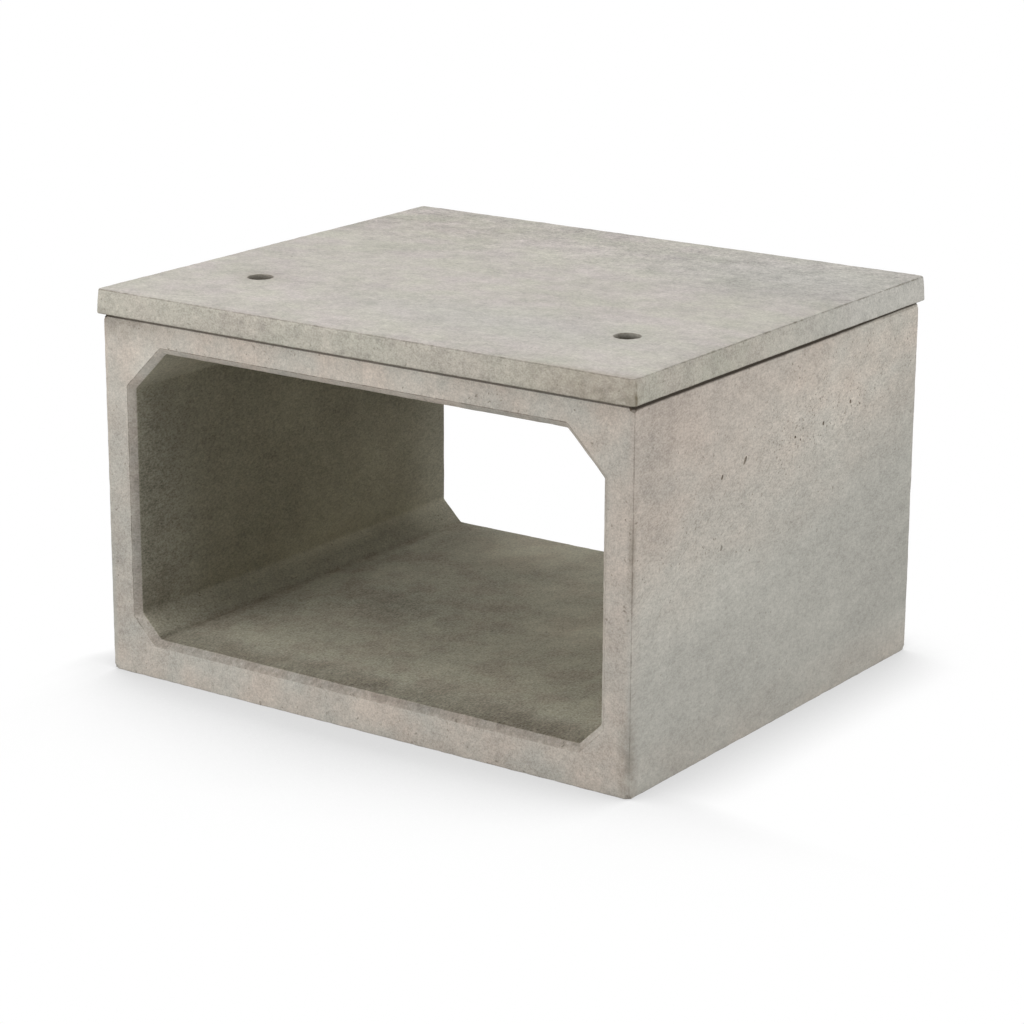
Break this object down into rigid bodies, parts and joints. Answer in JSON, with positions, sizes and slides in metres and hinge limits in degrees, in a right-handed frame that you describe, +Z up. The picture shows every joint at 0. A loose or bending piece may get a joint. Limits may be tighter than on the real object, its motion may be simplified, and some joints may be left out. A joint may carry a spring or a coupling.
{
  "type": "precast concrete box culvert section with cover slab",
  "caption": "Short precast concrete box culvert section, open at both ends, with splayed inner corners, bevelled mouths and a loose flat cover slab that has lifting holes.",
  "frame": {"origin": "middle of the footprint, on the ground under the box", "axes": "+X across the bore to the right, +Y along the bore from the front mouth to the rear mouth, +Z up"},
  "size_m": [1.144, 0.978, 0.716],
  "materials": {
    "cast_concrete_box": "matt form-cast concrete, fine sandy grain, stained",
    "cast_concrete_slab": "matt form-cast concrete, lighter and smoother on top"
  },
  "bodies": {
    "box": {"box_section": "cast_concrete_box"},
    "slab": {"cover_slab": "cast_concrete_slab"}
  },
  "joints": [
    {"name": "cover_lift", "type": "slide", "parent": "box", "child": "slab", "axis": [0, 0, 1], "range_m": [0, 0.3]}
  ]
}
